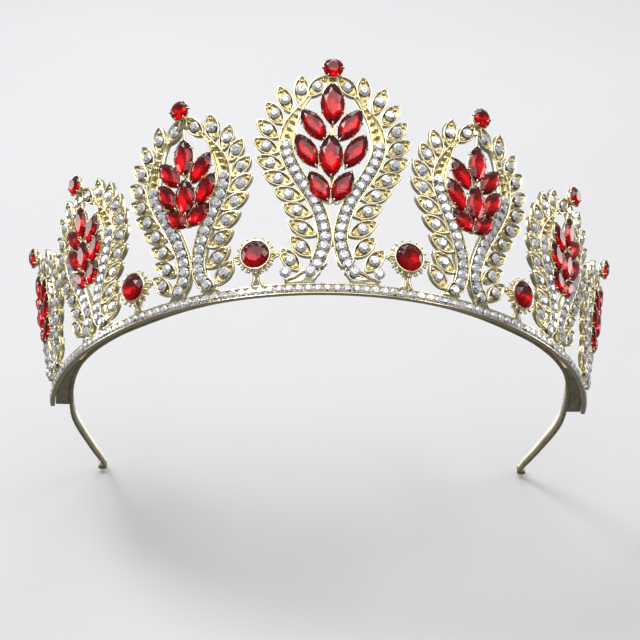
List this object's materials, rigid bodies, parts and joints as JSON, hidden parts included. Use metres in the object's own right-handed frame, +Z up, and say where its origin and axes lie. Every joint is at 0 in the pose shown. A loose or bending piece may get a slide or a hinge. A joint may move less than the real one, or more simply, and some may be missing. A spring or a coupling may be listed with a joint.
{
  "type": "tiara",
  "caption": "Open-backed tiara: a stone-set rail on a springy headband carries leaf-edged teardrop crests with red navette sprays, round finials and sun-shaped settings.",
  "frame": {"origin": "middle of the bounding box at the plane the band rests on", "axes": "+Z up through the crests, the jewelled front faces -Y, +X runs from the band's one side to the other"},
  "size_m": [0.1678, 0.1288, 0.0616],
  "materials": {
    "gold_plate": "polished pale champagne-gold plating on cast alloy, bright on the rims and darker in the recesses",
    "headband_gold": "satin pale-gold plating on spring strip, drawn lengthwise, slightly tarnished",
    "red_stone": "deep ruby-red faceted glass with a foiled back",
    "clear_stone": "clear faceted foil-backed crystal, silvery with dark facets"
  },
  "bodies": {
    "root": {"headband": "headband_gold", "stone_rail": "gold_plate", "rail_stone_row": "clear_stone", "crest_frame_center": "gold_plate", "arm_stone_rows_center": "clear_stone", "spray_setting_center": "gold_plate", "navette_top_center": "red_stone", "navette_middle_center": "red_stone", "navette_upper_left_center": "red_stone", "navette_upper_right_center": "red_stone", "navette_side_left_center": "red_stone", "navette_side_right_center": "red_stone", "navette_lower_left_center": "red_stone", "navette_lower_right_center": "red_stone", "finial_cup_center": "gold_plate", "finial_stone_center": "red_stone", "crest_frame_mid_left": "gold_plate", "arm_stone_rows_mid_left": "clear_stone", "spray_setting_mid_left": "gold_plate", "navette_spray_mid_left": "red_stone", "finial_cup_mid_left": "gold_plate", "finial_stone_mid_left": "red_stone", "crest_frame_mid_right": "gold_plate", "arm_stone_rows_mid_right": "clear_stone", "spray_setting_mid_right": "gold_plate", "navette_spray_mid_right": "red_stone", "finial_cup_mid_right": "gold_plate", "finial_stone_mid_right": "red_stone", "crest_frame_outer_left": "gold_plate", "arm_stone_rows_outer_left": "clear_stone", "spray_setting_outer_left": "gold_plate", "navette_spray_outer_left": "red_stone", "finial_cup_outer_left": "gold_plate", "finial_stone_outer_left": "red_stone", "crest_frame_outer_right": "gold_plate", "arm_stone_rows_outer_right": "clear_stone", "spray_setting_outer_right": "gold_plate", "navette_spray_outer_right": "red_stone", "finial_cup_outer_right": "gold_plate", "finial_stone_outer_right": "red_stone", "crest_frame_end_left": "gold_plate", "arm_stone_rows_end_left": "clear_stone", "spray_setting_end_left": "gold_plate", "navette_spray_end_left": "red_stone", "finial_cup_end_left": "gold_plate", "finial_stone_end_left": "red_stone", "crest_frame_end_right": "gold_plate", "arm_stone_rows_end_right": "clear_stone", "spray_setting_end_right": "gold_plate", "navette_spray_end_right": "red_stone", "finial_cup_end_right": "gold_plate", "finial_stone_end_right": "red_stone", "sun_bezel_inner_left": "gold_plate", "sun_stone_inner_left": "red_stone", "sun_bezel_inner_right": "gold_plate", "sun_stone_inner_right": "red_stone", "sun_bezel_outer_left": "gold_plate", "sun_stone_outer_left": "red_stone", "sun_bezel_outer_right": "gold_plate", "sun_stone_outer_right": "red_stone"}
  },
  "joints": []
}
